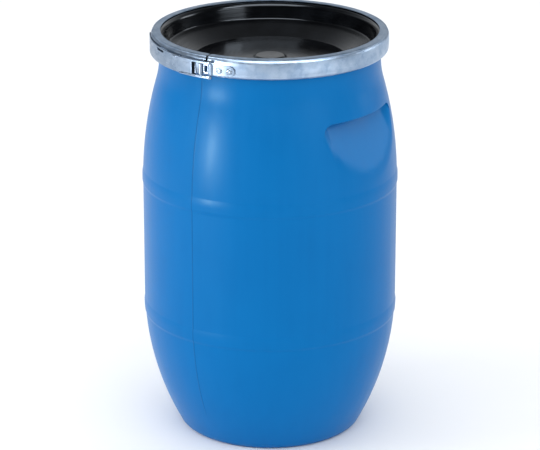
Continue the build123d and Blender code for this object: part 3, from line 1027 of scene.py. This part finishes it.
def latch_bracket():
    """The bracket: a base on the band and two arms that reach over the gap to the pivot."""
    inner = arc(PLATE_INNER, BRACKET_START, BRACKET_END, 8)
    outer = arc(PLATE_INNER + LATCH_SHEET, BRACKET_END, BRACKET_START, 8)
    reach = arm_outline(BRACKET_ARM_HALF, BRACKET_START, BRACKET_END)[::-1]
    arm = inner + outer[:1] + reach + outer[-1:]
    points = arm + outer[1:-1]
    rise = BRACKET_HALF - LATCH_SHEET
    vertices = [(*p, LATCH_Z + z) for z in (-BRACKET_HALF, -rise, rise, BRACKET_HALF) for p in points]

    def level(k, rim):
        return [k * len(points) + n for n in rim]

    whole = list(range(len(arm)))
    web = list(range(len(arm), len(points)))
    base = whole[: len(inner) + 1] + web + whole[-1:]
    open_part = whole[len(inner):] + web[::-1]
    faces = [level(0, whole), level(1, open_part), level(2, open_part), level(3, whole)]
    for k, rim in enumerate((whole, base, whole)):
        lower = level(k, rim)
        upper = level(k + 1, rim)
        faces += [(lower[n - 1], lower[n], upper[n], upper[n - 1]) for n in range(len(rim))]
    bracket = new_piece("bracket_strap", vertices, faces, LATCH)
    soften(bracket, 0.35 * MM)
    place(bracket, "band", "latch_steel", "latch_bracket")


def tongue_line(middle):
    """The middle of the tongue's sheet in plan: strap, rib over the pivot, and the curl."""
    rib_radius = TONGUE_RIB_RADIUS - PLATE / 2
    rib_half = (rib_radius + 1 * MM) / middle
    rib_centre = polar(PLATE_INNER, PIVOT_ANGLE)
    out = rib_centre.normalized()
    right = turned(out, pi / 2)
    line = arc(middle, TONGUE_END, PIVOT_ANGLE + rib_half, STRAP_STEPS)
    for n in range(9):
        angle = TONGUE_RIB_START + (pi - 2 * TONGUE_RIB_START) * n / 8
        line.append(rib_centre + right * rib_radius * cos(angle) + out * rib_radius * sin(angle))
    pin_angle = atan2(HOOK_PIN.x, -HOOK_PIN.y)
    line += arc(middle, PIVOT_ANGLE - rib_half, pin_angle, 4)[:-1]
    curl_radius = HOOK_PIN.length - middle
    out = HOOK_PIN.normalized()
    right = turned(out, pi / 2)
    for n in range(19):
        angle = -pi / 2 - TONGUE_CURL * n / 18
        line.append(HOOK_PIN + right * curl_radius * cos(angle) + out * curl_radius * sin(angle))
    return line


def tongue():
    """The strap on the band's right end, with its rib, its window and its curl round the pin."""
    middle = PLATE_INNER + PLATE / 2
    line = tongue_line(middle)
    corner = TONGUE_HALF - 0.2 * MM
    upper = [0.2, 0.45, 0.7, 0.9, 0.985, 1]
    layers = [-share for share in reversed(upper)] + [0] + upper
    vertices = []
    for layer in layers:
        rise = layer * TONGUE_HALF
        back = corner_setback(TONGUE_HALF - abs(rise), corner) / middle
        for face in sides(line, PLATE):
            for n, point in enumerate(face):
                pulled = back * max(0.0, 1 - n / STRAP_STEPS)
                angle = atan2(point.x, -point.y) - pulled
                vertices.append(spot(point.length, angle, LATCH_Z + rise))
    size = len(line)
    faces = []
    for k in range(len(layers) - 1):
        a = 2 * size * k
        b = a + 2 * size
        for i in range(size - 1):
            faces.append((a + i, a + i + 1, b + i + 1, b + i))
            faces.append((a + size + i, b + size + i, b + size + i + 1, a + size + i + 1))
        faces += [(a + i, b + i, b + size + i, a + size + i) for i in (0, size - 1)]
    for a in (0, 2 * size * (len(layers) - 1)):
        faces += [(a + i, a + i + 1, a + size + i + 1, a + size + i) for i in range(size - 1)]
    piece = new_piece("tongue_strap", vertices, faces, LATCH)

    window = polar(middle, TONGUE_WINDOW)
    away = window.normalized() * TONGUE_WINDOW_DEPTH
    across = turned(window.normalized(), pi / 2) * TONGUE_WINDOW_HALF
    outline = [window - across - away, window + across - away]
    outline += [window + across + away, window - across + away]
    low, high = LATCH_Z - TONGUE_WINDOW_RISE, LATCH_Z + TONGUE_WINDOW_RISE
    combine(piece, [plate("window", outline, low, high, LATCH)], "DIFFERENCE")
    soften(piece, 0.3 * MM)
    place(piece, "band_end", "latch_steel", "tongue_plate")


def flat_rivet(kind, number, angle, rise, head_radius, head_height, sheet, body):
    """A rivet through the band and a sheet on it, with a dimpled flat head."""
    seat = PLATE_INNER + sheet
    inside = BAND_RADIUS - BAND_SHEET - 0.1 * MM
    tail_radius = 4 * MM
    tail_bevel = 0.4 * MM
    tail_end = inside - 0.9 * MM
    head = [(1, 0), (1, 0.25), (0.9, 0.62), (0.74, 0.88), (0.55, 1)]
    head += [(0.4, 0.97), (0.3, 0.72), (0.18, 0.62)]
    profile = [
        (TIP_RADIUS, tail_end),
        (tail_radius - tail_bevel, tail_end),
        (tail_radius, tail_end + tail_bevel),
        (tail_radius, inside),
        (PIN_RADIUS, inside),
        (PIN_RADIUS, seat),
    ]
    profile += [(head_radius * share, seat + head_height * rise_share) for share, rise_share in head]
    profile.append((TIP_RADIUS, seat + 0.6 * head_height))
    origin = Vector((0, 0, LATCH_Z + rise))
    piece = spun(f"{kind}_head_{number}", profile, origin, Vector((*polar(1, angle), 0)), RIVET)
    place(piece, body, "rivet_steel", f"{kind}_{number}")


def flat_rivets():
    """The rivets that hold the tongue and the bracket on the band."""
    for n, angle in enumerate(TONGUE_RIVET_ANGLES, 1):
        flat_rivet("tongue_rivet", n, angle, 0, 6 * MM, 2.2 * MM, PLATE, "band_end")
    for n, rise in enumerate(BRACKET_RIVET_RISES, 1):
        angle = BRACKET_RIVET_ANGLE
        flat_rivet("bracket_rivet", n, angle, rise, 4.5 * MM, 1.9 * MM, LATCH_SHEET, "band")


def pivot_rivets():
    """The two short rivets that the lever turns on, with their heads on the bracket's arms."""
    inner = EAR_RISE - LATCH_SHEET - 0.1 * MM
    outer = BRACKET_HALF
    tail_radius = 3.4 * MM
    tail_bevel = 0.3 * MM
    profile = [
        (TIP_RADIUS, inner - 0.7 * MM),
        (tail_radius - tail_bevel, inner - 0.7 * MM),
        (tail_radius, inner - 0.4 * MM),
        (tail_radius, inner),
        (PIN_RADIUS, inner),
        (PIN_RADIUS, outer),
        (4.2 * MM, outer),
        (4.1 * MM, outer + 0.6 * MM),
        (3.4 * MM, outer + 1.2 * MM),
        (2.2 * MM, outer + 1.55 * MM),
        (TIP_RADIUS, outer + 1.6 * MM),
    ]
    for side, name in ((1, "upper"), (-1, "lower")):
        piece = spun(f"pivot_rivet_head_{name}", profile, PIVOT, UP * side, RIVET)
        place(piece, "band", "rivet_steel", f"pivot_rivet_{name}")


# ------------------------------------------------------------------ stage, light and camera

CAMERA_AZIMUTH = radians(36.5)
CAMERA_DISTANCE = 5.0837
CAMERA_HEIGHT = 2.1774
CAMERA_PITCH = radians(19.29)
CAMERA_LENS = 184.57
FLOOR_HALF = 12.0
FLOOR_COUNT = 24

# The room's brightness in reflections: in front, behind, at the horizon and overhead. Everything
# else sees one even brightness.
ROOM_FRONT = 0.04
ROOM_BACK = 0.95
ROOM_HORIZON = 0.15
ROOM_CEILING = 0.25
ROOM_EVEN = 1.14


def make_camera():
    """The one camera, level across and looking slightly down at the drum."""
    data = bpy.data.cameras.new("camera")
    data.lens = CAMERA_LENS
    data.sensor_width = 36.0
    data.clip_end = 60.0
    camera = bpy.data.objects.new("camera", data)
    camera.location = (*polar(CAMERA_DISTANCE, CAMERA_AZIMUTH), CAMERA_HEIGHT)
    camera.rotation_euler = (pi / 2 - CAMERA_PITCH, 0, CAMERA_AZIMUTH)
    bpy.context.scene.collection.objects.link(camera)
    bpy.context.scene.camera = camera


def make_stage():
    """The plain pale floor."""
    size = FLOOR_COUNT + 1
    marks = [-FLOOR_HALF + 2 * FLOOR_HALF * n / FLOOR_COUNT for n in range(size)]
    vertices = [(x, y, 0) for y in marks for x in marks]
    faces = []
    for j in range(FLOOR_COUNT):
        for i in range(FLOOR_COUNT):
            a = j * size + i
            faces.append((a, a + 1, a + size + 1, a + size))
    new_piece("floor", vertices, faces, floor_paint())


def studio_world():
    """An even white room, whose reflections are darker in front, low down and overhead."""
    world = bpy.data.worlds.new("studio")
    world.use_nodes = True
    tree = world.node_tree
    where = add(tree, "ShaderNodeTexCoord")
    turn = add(tree, "ShaderNodeMapping", {"Rotation": (0, 0, -CAMERA_AZIMUTH)})
    tree.links.new(where.outputs["Generated"], turn.inputs["Vector"])
    axes = separated(tree, turn.outputs["Vector"])
    depth = remap(tree, axes["Y"], ROOM_FRONT, ROOM_BACK, start=-0.3, end=0.9)
    overhead = remap(tree, axes["Z"], 1, ROOM_CEILING, start=0.3, end=0.7)
    low_down = remap(tree, axes["Z"], ROOM_HORIZON, 1, start=0.19, end=0.29)
    level = calculate(tree, "MULTIPLY", depth, overhead)
    level = calculate(tree, "MULTIPLY", level, low_down)
    path = add(tree, "ShaderNodeLightPath")
    seen = add(tree, "ShaderNodeMix", data_type="FLOAT")
    seen.inputs[2].default_value = ROOM_EVEN
    tree.links.new(path.outputs["Is Glossy Ray"], seen.inputs[0])
    tree.links.new(level, seen.inputs[3])
    background = tree.nodes["Background"]
    background.inputs["Color"].default_value = (0.96, 0.98, 1.0, 1)
    tree.links.new(seen.outputs[0], background.inputs["Strength"])
    bpy.context.scene.world = world


def area_light(name, azimuth, elevation, distance, size, power, height):
    """A soft box, aimed at a height on the drum's axis. Its azimuth starts at the camera's."""
    data = bpy.data.lights.new(name, "AREA")
    data.shape = "RECTANGLE"
    data.size, data.size_y = size
    data.energy = power
    lamp = bpy.data.objects.new(name, data)
    rise = radians(elevation)
    away = spot(distance * cos(rise), CAMERA_AZIMUTH + radians(azimuth), distance * sin(rise))
    lamp.location = away + UP * height
    lamp.rotation_euler = (-away).to_track_quat("-Z", "Y").to_euler()
    bpy.context.scene.collection.objects.link(lamp)
    return lamp


def make_light():
    """Two soft boxes that only light surfaces, and the boxes that only show in reflections."""
    bpy.context.scene.view_settings.view_transform = "Standard"
    studio_world()
    fills = [
        area_light("front_fill", 10, 40, 4.2, (3.0, 2.4), 20, 0.5),
        area_light("left_fill", -78, 14, 3.2, (1.4, 1.4), 30, 0.5),
    ]
    for fill in fills:
        fill.visible_glossy = False
    boxes = [
        area_light("left_box", -52, 0, 2.6, (0.3, 0.42), 50, 0.58),
        area_light("top_box", 0, 58, 2.6, (2.8, 2.0), 85, 0.75),
        area_light("key_box", 47, 33, 2.8, (0.9, 0.7), 22, 0.75),
        area_light("low_box", 42, 0, 1.7, (1.1, 0.4), 1.5, 0.3),
        area_light("front_box", 15, 34, 2.8, (2.6, 1.3), 9, 0.75),
        area_light("low_window", 44, 7, 2.8, (1.5, 0.35), 6.0, 0.775),
        area_light("side_box", 106, 14, 2.8, (1.0, 1.0), 13, 0.62),
    ]
    for box in boxes:
        box.visible_diffuse = False


drum_body()
lid()
gasket()
clamp_band()
latch_lever()
hook_pin()
latch_bracket()
tongue()
flat_rivets()
pivot_rivets()
make_stage()
make_light()
make_camera()

bpy.context.view_layer.update()
